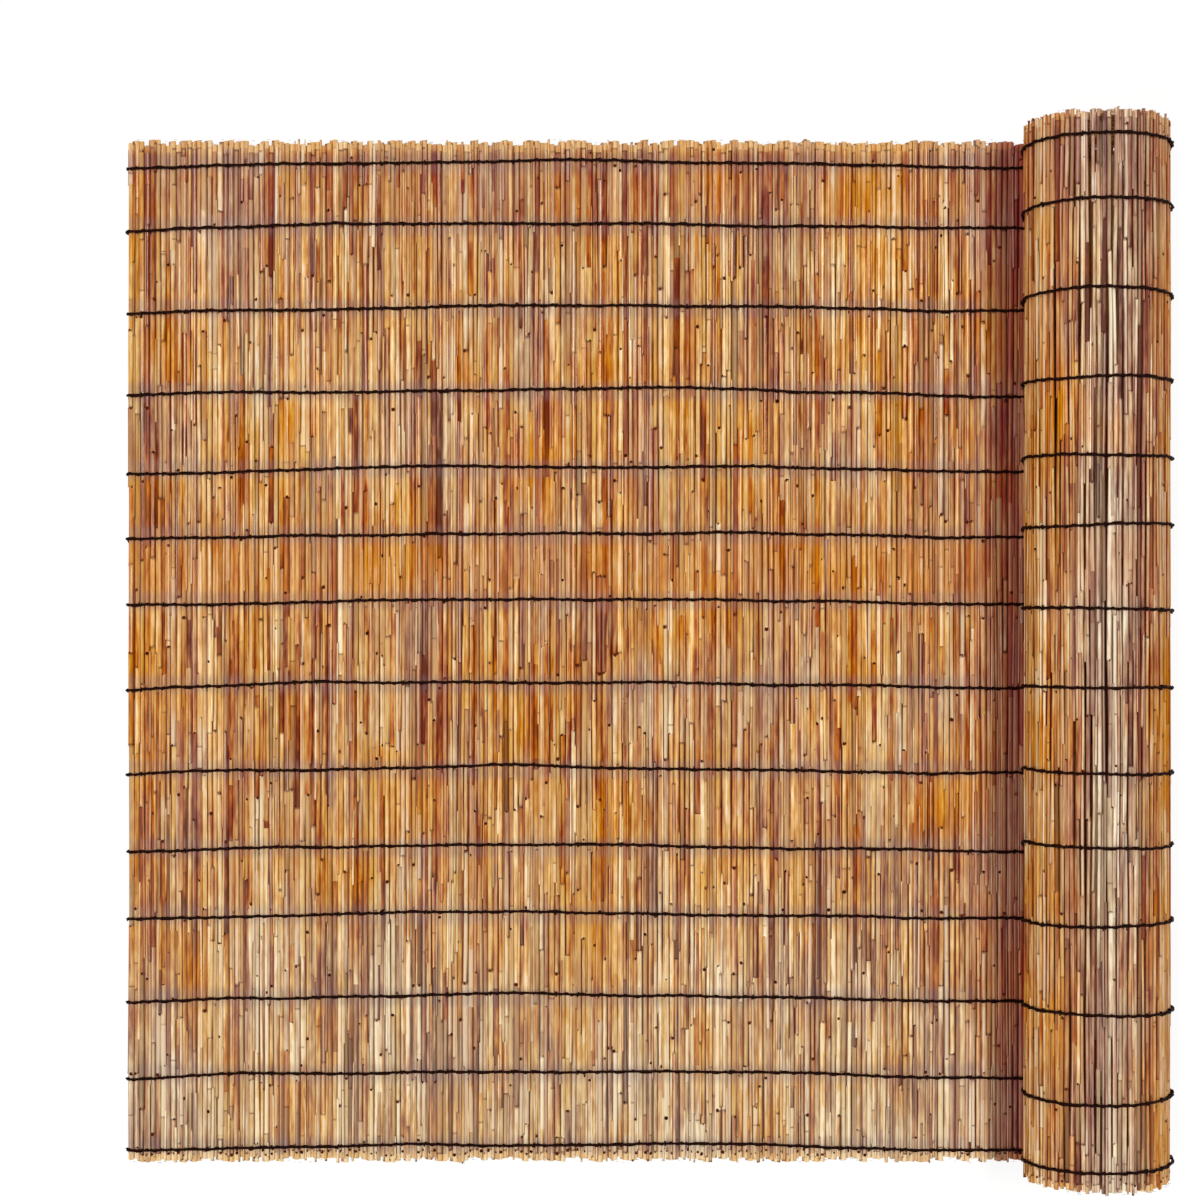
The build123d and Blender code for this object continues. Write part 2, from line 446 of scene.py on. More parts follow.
def reed_starts(name, reeds):
    """One point for each reed, with its radius, ends, turn round the roll and how its colour differs."""
    mesh = bpy.data.meshes.new(name)
    mesh.from_pydata([(reed["x"], 0, reed["z"]) for reed in reeds], [], [])
    for label in REED_VALUES:
        keep(mesh, label, [reed[label] for reed in reeds])
    return mesh


def reed_tone(chance):
    """How pale a reed is, from 0 to 1. A few are dark red from end to end."""
    return chance.uniform(*DARK_TONE) if chance.random() < DARK_REEDS else chance.random()


def flat_reeds(seed):
    """The reeds that lie flat, read from the solids: each has cut ends at heights of its own."""
    chance = random.Random(seed)
    reeds = []
    for node in reed_nodes:
        ends = {}
        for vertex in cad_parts[node].data.vertices:
            if abs(vertex.co.y) > mat_edge - 2 * RAGGED_EDGE:
                ends.setdefault(round(vertex.co.y, 6), []).append(vertex.co)
        lows, highs = [], []
        for y, rim in ends.items():
            left, right = min(v.x for v in rim), max(v.x for v in rim)
            middle = (min(v.z for v in rim) + max(v.z for v in rim)) / 2
            (highs if y > 0 else lows).append(((left + right) / 2, middle, y, (right - left) / 2))
        for (x, z, low, radius), (_, _, high, _) in zip(sorted(lows), sorted(highs)):
            # Beside the roll the reeds get painted shade: darker, greyer and redder
            nip_shade = max(0.0, 1 - (roll_left - x) / NIP_SHADE_REACH) if x < roll_left else 1.0
            reeds.append({
                "x": x,
                "z": z,
                "radius": radius + JOINT_SWELL,
                "low": low,
                "high": high,
                "turn": 0.0,
                "reed_tone": reed_tone(chance) - NIP_SHADE_DARK * nip_shade,
                "weather": NIP_SHADE_GREY * nip_shade,
                "ruddy": NIP_SHADE_RED * nip_shade,
                "gold": 0.0,
                "bleach": 1 - nip_shade,
            })
    return reeds


def rolled_place(run):
    """The point that lies so far along the roll's middle line, and the direction out of the roll there."""
    for turn in range(HALF_TURNS):
        radius = first_radius - turn * TURN_PITCH / 2
        if run <= math.pi * radius or turn == HALF_TURNS - 1:
            break
        run -= math.pi * radius
    side = 1 if turn % 2 == 0 else -1
    centre = Vector((roll_middle, 0, mat_middle + first_radius + (0 if side == 1 else TURN_PITCH / 2)))
    outwards = Vector((math.sin(run / radius), 0, -math.cos(run / radius))) * side
    return centre + outwards * radius, outwards


def nearness(turn, middle, reach):
    """1 at a place round the roll, and less the further off a reed lies."""
    return math.exp(-(((turn - middle) / reach) ** 2))


def rolled_reeds(run, finish, radius_mean, outermost, seed):
    """The reeds of a stretch of the roll, along its winding. The crest of the outermost turn is greyed, and
    its left edge paled by a painted light.
    """
    chance = random.Random(seed)
    reeds = []
    while run < finish:
        place, outwards = rolled_place(run + CORE_REED)
        turn = math.atan2(outwards.x, outwards.z)
        crest = nearness(turn, 0.0, CREST_REACH) if outermost else 0.0
        left_edge = nearness(turn, -LEFT_EDGE, LEFT_EDGE_REACH) if outermost else 0.0
        contrast = ROLL_CONTRAST + CREST_CONTRAST * crest
        flank = RIGHT_TONE if turn > 0 else LEFT_TONE
        # A painted light pales the reeds on the roll's left edge
        paler = flank - CREST_DARK * crest + LEFT_EDGE_PAINTED_LIGHT * left_edge
        radius = radius_mean * (1 - CREST_GAP * crest) + chance.uniform(-REED_SPREAD, REED_SPREAD)
        reeds.append({
            "x": place.x,
            "z": place.z,
            "radius": radius,
            "low": -mat_edge + chance.uniform(0, RAGGED_EDGE) * ROLL_RAGGED,
            "high": mat_edge - chance.uniform(0, RAGGED_EDGE) * ROLL_RAGGED,
            "turn": turn,
            "reed_tone": reed_tone(chance) * contrast + paler,
            "weather": CREST_GREYNESS * crest - ROLL_FRESH,
            "ruddy": RIGHT_RUDDY * (1 - crest) if outermost and turn > 0 else 0.0,
            "gold": ROLL_GOLD * (1 - crest) if outermost else CORE_GOLD,
            "bleach": ROLL_BLEACH,
        })
        run += 2 * CORE_REED + chance.uniform(-REED_SPREAD, REED_SPREAD)
    return reeds


def groove_reeds(reeds, seed):
    """Thin reeds that lie in the grooves between neighbours, on the outer side."""
    chance = random.Random(seed)
    thin = []
    for a, b in zip(reeds, reeds[1:]):
        radius = chance.uniform(THIN_REED, THICKER_REED)
        outwards = Vector((math.sin(b["turn"]), 0, math.cos(b["turn"])))
        first, second = Vector((a["x"], 0, a["z"])), Vector((b["x"], 0, b["z"]))
        half = (second - first).length / 2
        rise = math.sqrt(max((a["radius"] + b["radius"]) / 2 + radius, half) ** 2 - half**2) - GROOVE_SINK
        place = (first + second) / 2 + outwards * rise
        thin.append({
            **b,
            "x": place.x,
            "z": place.z,
            "radius": radius,
            "low": -mat_edge + RAGGED_EDGE * chance.random(),
            "high": mat_edge - RAGGED_EDGE * chance.random(),
            "reed_tone": b["reed_tone"] * NEIGHBOUR_TONE + (1 - NEIGHBOUR_TONE) * chance.random(),
        })
    return thin


def under_reeds(reeds):
    """Flattened reeds that lie on the floor, under the grooves between the others, darker and redder as
    painted shade in the gaps.
    """
    alike = {"z": UNDER_MIDDLE, "radius": UNDER_REED, "reed_tone": UNDER_SHADE_TONE, "ruddy": UNDER_SHADE_RED}
    return [{**b, **alike, "x": (a["x"] + b["x"]) / 2} for a, b in zip(reeds, reeds[1:])]


def stored(tree, geometry, name, value, kind="FLOAT"):
    """The geometry with a value kept on each of its points."""
    inputs = {"Geometry": geometry, "Name": name, "Value": value}
    return tree.node("GeometryNodeStoreNamedAttribute", {"data_type": kind, "domain": "POINT"}, inputs)


def kept(tree, name, kind="FLOAT"):
    return tree.node("GeometryNodeInputNamedAttribute", {"data_type": kind}, {"Name": name})


def by_chance(tree, low, high, number, seed):
    inputs = {"Min": low, "Max": high, "ID": number, "Seed": seed}
    return tree.node("FunctionNodeRandomValue", {"data_type": "FLOAT"}, inputs)


def vector(tree, parts):
    """A vector from its parts, in order or by name."""
    return tree.node("ShaderNodeCombineXYZ", {}, parts)


def rotation(tree, about_y, about_z):
    """A turn about Y, and then about the turned shape's own Z."""
    angles = [vector(tree, {"Y": about_y}), vector(tree, {"Z": about_z})]
    turns = [tree.node("FunctionNodeEulerToRotation", {}, [angle]) for angle in angles]
    return tree.node("FunctionNodeRotateRotation", {"rotation_space": "LOCAL"}, turns)


def placed(tree, points, shape, turns, sizes, chosen=True):
    """A copy of a shape on each chosen point."""
    inputs = {
        "Points": points,
        "Selection": chosen,
        "Instance": tree.node("GeometryNodeObjectInfo", {}, {"Object": shape}, ["Geometry"])[0],
        "Rotation": turns,
        "Scale": vector(tree, sizes),
    }
    return tree.node("GeometryNodeInstanceOnPoints", {}, inputs)


def stalk_tree():
    """Grows each starting point into a reed: lengths of stalk between joints, scars and open ends."""
    sizes = {
        "Stalk": "NodeSocketObject",
        "Mouth": "NodeSocketObject",
        "Scar": "NodeSocketObject",
        "Joints": "NodeSocketInt",
        "Shortest": "NodeSocketFloat",
        "Longest": "NodeSocketFloat",
        "Mouth Depth": "NodeSocketFloat",
        "Share Kept": "NodeSocketFloat",
        "Scar Share": "NodeSocketFloat",
        "Wobble": "NodeSocketFloat",
        "Lean": "NodeSocketFloat",
        "Seed": "NodeSocketInt",
        "Finish": "NodeSocketMaterial",
    }
    group, tree, given = geometry_tree("reed stalks", sizes)
    seed, depth = given["Seed"], given["Mouth Depth"]
    low, high, turn = kept(tree, "low"), kept(tree, "high"), kept(tree, "turn")
    radius, span, reed = kept(tree, "radius"), kept(tree, "span"), kept(tree, "reed", "INT")
    index = tree.node("GeometryNodeInputIndex")

    def set_along(points, height):
        place = tree.node("GeometryNodeInputPosition")
        x, z = tree.node("ShaderNodeSeparateXYZ", {}, [place], ["X", "Z"])
        moved = vector(tree, [x, height, z])
        return tree.node("GeometryNodeSetPosition", {}, {"Geometry": points, "Position": moved})

    reeds = stored(tree, given["Geometry"], "reed", index, "INT")
    lengths = tree.node("GeometryNodeDuplicateElements", {"domain": "POINT"}, [reeds, True, given["Joints"]])
    between_joints = by_chance(tree, given["Shortest"], given["Longest"], index, seed + 2)
    lengths = stored(tree, lengths, "span", between_joints)
    totals = {"data_type": "FLOAT", "domain": "POINT"}
    by_reed = {"Value": span, "Group ID": reed}
    before = tree.node("GeometryNodeAccumulateField", totals, by_reed, ["Trailing"])[0]
    first = low - by_chance(tree, 0.0, given["Longest"], reed, seed + 3)
    lengths = stored(tree, lengths, "from", first + before)
    begin = kept(tree, "from").most(low + depth)
    finish = (kept(tree, "from") + span).least(high - depth)
    lengths = stored(tree, lengths, "span", finish - begin)
    lengths = stored(tree, lengths, "from", begin)
    for step, label in enumerate(LENGTH_CHANCES):
        lengths = stored(tree, lengths, label, by_chance(tree, 0.0, 1.0, index, seed + 20 + step))
    dropped = by_chance(tree, 0.0, 1.0, index, seed + 6) > given["Share Kept"]
    gone = dropped.most(span < SHORTEST_LENGTH)
    lengths = tree.node("GeometryNodeDeleteGeometry", {"domain": "POINT"}, [lengths, gone])
    lengths = set_along(lengths, kept(tree, "from"))

    thick = radius * by_chance(tree, *STALK_THICK, index, seed + 7)
    wide = radius * by_chance(tree, *STALK_WIDE, index, seed + 11)
    lean = by_chance(tree, -given["Lean"], given["Lean"], index, seed + 8)
    stalks = placed(tree, lengths, given["Stalk"], rotation(tree, turn, lean), [wide, span, thick])

    size = radius * by_chance(tree, *SCAR_SIZE, index, seed + 12)
    aside = by_chance(tree, -SCAR_ASIDE, SCAR_ASIDE, index, seed + 10)
    scarred = by_chance(tree, 0.0, 1.0, index, seed + 9) < given["Scar Share"]
    spots = stored(tree, lengths, "scar", 1.0)
    turns = rotation(tree, turn + aside, 0.0)
    scars = placed(tree, spots, given["Scar"], turns, [size, size, thick], scarred)

    ends = stored(tree, reeds, "tone", MOUTH_TONE)
    ends = stored(tree, ends, "span", depth)
    rim = [radius * MOUTH_SHARE, depth, radius * MOUTH_SHARE]
    mouths = [
        placed(tree, set_along(ends, height), given["Mouth"], rotation(tree, turn, flip), rim)
        for height, flip in ((low + depth, math.pi), (high - depth, 0.0))
    ]
    everything = tree.node("GeometryNodeJoinGeometry", {}, [[stalks, scars, *mouths]])
    grown = tree.node("GeometryNodeRealizeInstances", {}, [everything])

    place = tree.node("GeometryNodeInputPosition")
    y = tree.node("ShaderNodeSeparateXYZ", {}, [place], ["Y"])[0]
    drift = vector(tree, [part * step for part, step in zip((reed, y, seed), BEND_STEPS)])
    noise = tree.node("ShaderNodeTexNoise", {}, {"Vector": drift, "Scale": 1.0, "Detail": 1.0}, ["Color"])[0]
    aside, out = tree.node("ShaderNodeSeparateXYZ", {}, [noise], ["X", "Y"])
    aside = (aside - 0.5) * given["Wobble"]
    out = (out - 0.5) * given["Wobble"] * BEND_OUT
    bend = {
        "X": aside * turn.cosine() + out * turn.sine(),
        "Z": out * turn.cosine() - aside * turn.sine(),
    }
    grown = tree.node("GeometryNodeSetPosition", {}, {"Geometry": grown, "Offset": vector(tree, bend)})
    grown = tree.node("GeometryNodeSetMaterial", {}, {"Geometry": grown, "Material": given["Finish"]})
    tree.node("NodeGroupOutput", {}, [grown])
    return group


def wire_tree():
    """Draws each row as a round wire that wanders a little, with a thin strand wound round it and knots."""
    sizes = {
        "Knot": "NodeSocketObject",
        "Wire Radius": "NodeSocketFloat",
        "Strand Radius": "NodeSocketFloat",
        "Strand Turn": "NodeSocketFloat",
        "Knot Step": "NodeSocketFloat",
        "Wander": "NodeSocketFloat",
        "Seed": "NodeSocketInt",
        "Finish": "NodeSocketMaterial",
    }
    group, tree, given = geometry_tree("binding wires", sizes)
    seed, row = given["Seed"], kept(tree, "row")
    wire, strand = given["Wire Radius"], given["Strand Radius"]
    row_step, seed_step = WIRE_STEPS

    def noise(run, detail, shift):
        drift = vector(tree, [run, row * row_step + shift, seed * seed_step])
        return tree.node("ShaderNodeTexNoise", {}, {"Vector": drift, "Scale": 1.0, "Detail": detail}) - 0.5

    def above_floor(lines, radius):
        place = tree.node("GeometryNodeInputPosition")
        x, y, z = tree.node("ShaderNodeSeparateXYZ", {}, [place], ["X", "Y", "Z"])
        held = vector(tree, [x, y, z.most(radius)])
        return tree.node("GeometryNodeSetPosition", {}, {"Geometry": lines, "Position": held})

    def tube(lines, radius, sides):
        circle = {"Resolution": sides, "Radius": radius}
        ring = tree.node("GeometryNodeCurvePrimitiveCircle", {"mode": "RADIUS"}, circle)
        inputs = {"Curve": lines, "Profile Curve": ring, "Fill Caps": True}
        return tree.node("GeometryNodeCurveToMesh", {}, inputs)

    wander = noise(kept(tree, "run") * WANDER_BENDS, 3.0, 0.0) * given["Wander"]
    aside = vector(tree, {"Y": wander})
    lines = tree.node("GeometryNodeSetPosition", {}, {"Geometry": given["Geometry"], "Offset": aside})
    lines = above_floor(tree.node("GeometryNodeMeshToCurve", {}, [lines]), wire)
    wires = tube(lines, wire, WIRE_SIDES)

    step = given["Strand Turn"] / STRAND_STEPS
    coils = tree.node("GeometryNodeResampleCurve", {"mode": "LENGTH"}, {"Curve": lines, "Length": step})
    run = tree.node("GeometryNodeSplineParameter", {}, (), ["Length"])[0]
    angle = run * (2 * math.pi) / given["Strand Turn"]
    angle = angle + noise(run * STRAND_CHANGES, 2.0, 3.0) * STRAND_UNEVEN
    along = tree.node("GeometryNodeInputTangent")
    x, z = tree.node("ShaderNodeSeparateXYZ", {}, [along], ["X", "Z"])
    reach = wire + strand * STRAND_SEAT
    out, across = angle.cosine() * reach, angle.sine() * reach
    offset = vector(tree, [-(out * z), across, out * x])
    coils = tree.node("GeometryNodeSetPosition", {}, {"Geometry": coils, "Offset": offset})
    strands = tube(above_floor(coils, strand), strand, STRAND_SIDES)

    points, tangent = tree.node(
        "GeometryNodeCurveToPoints",
        {"mode": "LENGTH"},
        {"Curve": lines, "Length": given["Knot Step"]},
        ["Points", "Tangent"],
    )
    index = tree.node("GeometryNodeInputIndex")
    x, z = tree.node("ShaderNodeSeparateXYZ", {}, [tangent], ["X", "Z"])
    turns = rotation(tree, x.math("ARCTAN2", -z, x), by_chance(tree, *KNOT_SLANT, index, seed))
    size = wire * by_chance(tree, *KNOT_SIZE, index, seed + 1)
    tied = by_chance(tree, 0.0, 1.0, index, seed + 2) < KNOT_SHARE
    knots = placed(tree, points, given["Knot"], turns, [size, size, size], tied)
    drawn = tree.node("GeometryNodeJoinGeometry", {}, [[wires, strands, knots]])
    drawn = tree.node("GeometryNodeRealizeInstances", {}, [drawn])
    drawn = tree.node("GeometryNodeSetMaterial", {}, {"Geometry": drawn, "Material": given["Finish"]})
    tree.node("NodeGroupOutput", {}, [drawn])
    return group


def material(name):
    finish = bpy.data.materials.new(name)
    finish.use_nodes = True
    finish.node_tree.nodes.clear()
    return finish, Tree(finish.node_tree)


def surface(tree, shader):
    tree.node("ShaderNodeOutputMaterial", {}, {"Surface": shader})


def mixed(tree, amount, a, b):
    return tree.node("ShaderNodeMix", {"data_type": "RGBA"}, {"Factor": amount, "A": a, "B": b})


def tinted(tree, skin, mask, tint):
    """The skin with a tint laid over it where the mask is 1."""
    strength, rgb = tint
    return mixed(tree, mask * strength, skin, colour(rgb))


def ramp(tree, value, stops):
    """The colour at a value between stops, each a position and a colour."""
    return tree.node("ShaderNodeValToRGB", {"stops": stops}, [value])


def faded(tree, value, low, high):
    """From 0 at low to 1 at high."""
    inputs = {"Value": value, "From Min": low, "From Max": high}
    return tree.node("ShaderNodeMapRange", {"interpolation_type": "SMOOTHSTEP"}, inputs)


def attribute(tree, name):
    return tree.node("ShaderNodeAttribute", {"attribute_name": name}, (), ["Fac"])[0]


def speckle(tree, place, scale, detail=2.0):
    """Noise stretched by a scale along each axis, about 0."""
    stretched = tree.node("ShaderNodeVectorMath", {"operation": "MULTIPLY"}, [place, scale])
    return tree.node("ShaderNodeTexNoise", {}, {"Vector": stretched, "Scale": 1.0, "Detail": detail}) - 0.5


def row_heights(nodes):
    """How far up the mat the rows of wire lie."""
    return [(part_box(n)[0].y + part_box(n)[1].y) / 2 for n in nodes]


def beside_wires(tree, height):
    """1 on the reeds beside a binding wire, where shade is painted, and 0 a little further off."""
    away = [abs(height - row) for row in row_heights(upper_nodes)]
    return 1 - faded(tree, reduce(Value.least, away), *WIRE_SHADE_REACH)


def stalk_tone(tree, marks, from_end, bleached):
    """How pale the skin is: by the reed, the length of stalk, the sheath on it and the finer marks."""
    joint = attribute(tree, "joint")
    blur = SHEATH_BLUR + joint * joint * SHEATH_SOFTEST
    covered = faded(tree, -from_end, -blur, blur)
    tone = MIDDLE_TONE + (attribute(tree, "tone") - 0.5) * LENGTH_CONTRAST
    tone = tone + (attribute(tree, "reed_tone") - 0.5) * REED_CONTRAST
    for name, (_, _, _, contrast) in SKIN_MARKS.items():
        tone = tone + marks[name] * contrast
    tone = tone + bleached * BLEACH_LIGHT
    tone = tone + covered * (attribute(tree, "sheath_tone") - SHEATH_MIDDLE) * SHEATH_CONTRAST
    weather = attribute(tree, "weather").most(0.0)
    contrast = 1 + bleached * BLEACH_CONTRAST + weather * GREYNESS_CONTRAST
    return CONTRAST_ABOUT + (tone - CONTRAST_ABOUT) * contrast


def stalk_skin(tree, marks, patches, tone, golden, bleached):
    """The skin's colour by its tone and greyness, with the tints that some lengths of stalk have, and a
    painted highlight streak on glossier lengths.
    """
    grey_amount = attribute(tree, "grey") + attribute(tree, "weather") + marks["stains"] * STAIN_GREY
    grey_amount = grey_amount + patches * PATCH_GREY + bleached * BLEACH_GREY
    greyed = faded(tree, grey_amount, *GREYING) * (MOST_GREY - golden * GOLD_SPARED)
    skin = mixed(tree, greyed, ramp(tree, tone, FRESH_REED), ramp(tree, tone, GREYED_REED))
    ochre = faded(tree, marks["blotches"] - marks["fibres"] * OCHRE_FIBRES, *OCHRE_FROM)
    skin = tinted(tree, skin, ochre, OCHRE_BLOTCH)
    skin = tinted(tree, skin, faded(tree, attribute(tree, "sheath_tone"), *TINTED_LENGTHS), MAUVE_LENGTH)
    skin = tinted(tree, skin, faded(tree, attribute(tree, "streak"), *TINTED_LENGTHS), KHAKI_LENGTH)
    # A painted highlight: a pale streak along one side of glossier lengths
    off_highlight = attribute(tree, "side") - (attribute(tree, "streak") - 0.5) * HIGHLIGHT_SPREAD
    streak = 1 - faded(tree, abs(off_highlight), *HIGHLIGHT_WIDTH)
    streak = streak * faded(tree, attribute(tree, "gloss"), *HIGHLIGHTED_LENGTHS)
    skin = tinted(tree, skin, streak, PAINTED_HIGHLIGHT_STREAK)
    return tinted(tree, skin, faded(tree, -patches, *WARM_PATCHES), GOLDEN_PATCH)


def mat_zones(tree, skin, height, golden, bleached):
    """The skin with the tints that come by the place on the mat, among them painted shade beside the wires
    and beside the roll.
    """
    bleach = attribute(tree, "bleach")
    skin = tinted(tree, skin, golden, GOLDEN_BAND)
    # The reeds' redness; beside the roll and under the grooves it is painted shade
    ruddy = faded(tree, height, *RUDDY_ABOVE) * RUDDY_TOP + attribute(tree, "ruddy")
    skin = tinted(tree, skin, ruddy, RUDDY_REED)
    skin = tinted(tree, skin, bleached, BLEACHED_REED)
    # Painted shade greys and darkens the reeds beside the wires
    skin = tinted(tree, skin, beside_wires(tree, height) * bleach, WIRE_PAINTED_SHADE)
    return tinted(tree, skin, faded(tree, abs(height), *PALE_TIPS) * bleach, PALE_TIP)


def joint_marks(tree, skin, along, span, from_end):
    """The skin with the dark edges of sheaths, and with rings and tails at the joints."""
    joint = attribute(tree, "joint")
    edge = 1 - faded(tree, abs(from_end), *SHEATH_EDGE)
    skin = tinted(tree, skin, edge * (1 - faded(tree, joint, *EDGED_SHEATHS)), SHEATH_END)
    near_joint = along.least(1 - along) * span
    ring = (1 - faded(tree, near_joint, *RING_WIDTH)) * faded(tree, joint, *RINGED_JOINTS)
    skin = tinted(tree, skin, ring, JOINT_RING)
    tail = 1 - faded(tree, along * span, *TAIL_LENGTH)
    tail = tail * faded(tree, attribute(tree, "side"), *TAIL_SIDE) * faded(tree, joint, *TAILED_JOINTS)
    return tinted(tree, skin, tail, JOINT_TAIL)


def painted_groove_shade(tree, facing, stains):
    """1 low down on the sides of a stalk, where shade in the grooves is painted on some lengths."""
    to_right = faded(tree, attribute(tree, "side"), *RIGHT_SIDE)
    shadow = attribute(tree, "left_edge") * (1 - to_right) + attribute(tree, "right_edge") * to_right
    groove_shade = 1 - faded(tree, abs(facing), *GROOVE_FACING)
    return groove_shade * faded(tree, shadow + stains * GROOVE_SHADE_BY_STAINS, *GROOVE_DEPTH)


def reed_finish():
    """Dry reed skin: each length of stalk has a tone of its own, with fibres, sheaths, joints, painted shade
    in the grooves and a painted highlight streak.
    """
    finish, tree = material("dry reed")
    place = tree.node("ShaderNodeTexCoord", {}, (), ["Object"])[0]
    height = tree.node("ShaderNodeSeparateXYZ", {}, [place], ["Y"])[0]
    marks = {
        name: speckle(tree, place, (across, lengthwise, across), detail)
        for name, (across, lengthwise, detail, _) in SKIN_MARKS.items()
    }
    patches = speckle(tree, place, PATCHES)
    along, span, facing = attribute(tree, "along"), attribute(tree, "span"), attribute(tree, "facing")
    from_end = (along - (attribute(tree, "sheath") * SHEATH_SPREAD - SHEATH_BEFORE)) * span
    bleached = (1 - faded(tree, height, *BLEACHED_BELOW)) * attribute(tree, "bleach")
    golden = faded(tree, height, *GOLDEN_FROM) * (1 - faded(tree, height, *GOLDEN_TO))
    golden = golden.most(attribute(tree, "gold"))

    tone = stalk_tone(tree, marks, from_end, bleached)
    skin = stalk_skin(tree, marks, patches, tone, golden, bleached)
    skin = mat_zones(tree, skin, height, golden, bleached)
    skin = joint_marks(tree, skin, along, span, from_end)
    strength = 1 - attribute(tree, "weather").most(0.0) * GREYNESS_FADES - patches * PATCH_FADES
    skin = tree.node("ShaderNodeHueSaturation", {}, {"Saturation": strength, "Color": skin})
    groove_shade = painted_groove_shade(tree, facing, marks["stains"])
    # Painted shade in the grooves between the reeds
    skin = tinted(tree, skin, groove_shade, GROOVE_PAINTED_SHADE)
    scar = attribute(tree, "scar")
    scar_colour = mixed(tree, attribute(tree, "joint"), colour(SCAR_DARK), colour(SCAR_BROWN))
    skin = mixed(tree, scar, skin, scar_colour)

    gloss = faded(tree, attribute(tree, "gloss"), *GLOSSY_LENGTHS) * faded(tree, facing, *GLOSSY_TOP)
    fibres = {"Strength": BUMP_STRENGTH, "Distance": FIBRE_HEIGHT, "Height": marks["fibres"]}
    shader = {
        "Base Color": skin,
        "Roughness": SKIN_ROUGH + marks["blotches"] * BLOTCH_ROUGH + groove_shade.most(scar) * GROOVE_ROUGH,
        "Coat Weight": gloss * (1 - scar) * MOST_GLOSS,
        "Coat Roughness": COAT_ROUGH,
        "Specular IOR Level": DULL_SPECULAR,
        "Normal": tree.node("ShaderNodeBump", {}, fibres),
    }
    surface(tree, tree.node("ShaderNodeBsdfPrincipled", {}, shader))
    return finish


def wire_finish():
    """Dark coated wire, dulled and dusty in places."""
    finish, tree = material("coated wire")
    place = tree.node("ShaderNodeTexCoord", {}, (), ["Object"])[0]
    dust = tree.node("ShaderNodeTexNoise", {}, {"Vector": place, "Scale": DUST_SCALE, "Detail": 3.0})
    grains = {"Strength": BUMP_STRENGTH, "Distance": DUST_HEIGHT, "Height": dust}
    shader = {
        "Base Color": mixed(tree, faded(tree, dust, *DUST_SEEN), colour(WIRE_COAT), colour(WIRE_DUST)),
        "Roughness": WIRE_ROUGH + dust * DUST_ROUGH,
        "Specular IOR Level": DULL_SPECULAR,
        "Normal": tree.node("ShaderNodeBump", {}, grains),
    }
    surface(tree, tree.node("ShaderNodeBsdfPrincipled", {}, shader))
    return finish


def row_shift(number, x, z):
    """How far a row lies off its straight place: it bows a little on the flat, and is askew on the roll."""
    along = min((x - mat_start) / (roll_middle - mat_start), BOW_END)
    bend = BOW_RISE - BOW_CURVE * (along - BOW_MIDDLE) ** 2
    rise = min(max((z - 2 * mat_middle) / first_radius, 0.0), 1.0)
    return bend * (1 - rise) + ASKEW_ROWS[number % len(ASKEW_ROWS)] * rise


def wire_lines(name, rows, path):
    """A line of points along each row, as edges, with the row's number and the way run so far."""
    vertices, edges, numbers, runs = [], [], [], []
    for number, row in enumerate(rows):
        run = 0.0
        for i, (x, z) in enumerate(path):
            if i:
                edges.append((len(vertices) - 1, len(vertices)))
                run += math.dist((x, z), path[i - 1])
            vertices.append((x, row + row_shift(number, x, z), z))
            numbers.append(float(number))
            runs.append(run)
    mesh = bpy.data.meshes.new(name)
    mesh.from_pydata(vertices, edges, [])
    keep(mesh, "row", numbers)
    keep(mesh, "run", runs)
    return mesh


def straight(x_from, x_to, z, step=0.008):
    """Points on a line along X."""
    count = max(2, round(abs(x_to - x_from) / step))
    return [(x_from + (x_to - x_from) * i / count, z) for i in range(count + 1)]


def bow(x, z, radius, angle_from, angle_to, steps):
    """Points on an arc in the XZ plane; angles run from straight down, positive towards +X."""
    angles = (angle_from + (angle_to - angle_from) * i / steps for i in range(steps + 1))
    return [(x + radius * math.sin(a), z - radius * math.cos(a)) for a in angles]


def knot_shape():
    """Half a ring of thin wire over a binding wire of radius 1, its ends tucked in between the reeds."""
    steps, sides = 6, 5
    bend, thick = 1.35, 0.6
    wrap = 1.15 * math.pi  # how far round the wire it goes
    vertices, faces = [], []
    for i in range(steps + 1):
        angle = wrap * (i / steps - 0.5)
        for j in range(sides):
            around = 2 * math.pi * j / sides
            reach = bend + thick * math.cos(around)
            vertices.append((thick * math.sin(around), reach * math.sin(angle), reach * math.cos(angle)))
    for i in range(steps):
        for j in range(sides):
            k = (j + 1) % sides
            faces.append((i * sides + j, (i + 1) * sides + j, (i + 1) * sides + k, i * sides + k))
    faces.append(tuple(range(sides)))
    faces.append(tuple(reversed(range(steps * sides, (steps + 1) * sides))))
    mesh = bpy.data.meshes.new("knot")
    mesh.from_pydata(vertices, [], faces, shade_flat=False)
    return link("knot_shape", mesh)


def under_shape():
    """A flattened length of stalk."""
    under = turned("under_shape", [(0, 0), (0, 1), (0.5, 0.96), (1, 1), (1, 0)], sides=8)
    for vertex in under.data.vertices:
        vertex.co.x *= UNDER_WIDTH
    return under


def scar_shape():
    """A small scar that lies on top of a joint of radius 1."""
    width, seat, height = 1.15, 0.88, 0.4
    scar = turned("scar_shape", [(-0.9, 0), (-0.5, 0.6), (0.3, 0.68), (1.0, 0)], sides=5)
    for vertex in scar.data.vertices:
        vertex.co.z = seat + vertex.co.z * height
        vertex.co.x *= width
    scar.data.attributes["facing"].data.foreach_set("value", [1.0] * len(scar.data.vertices))
    return scar


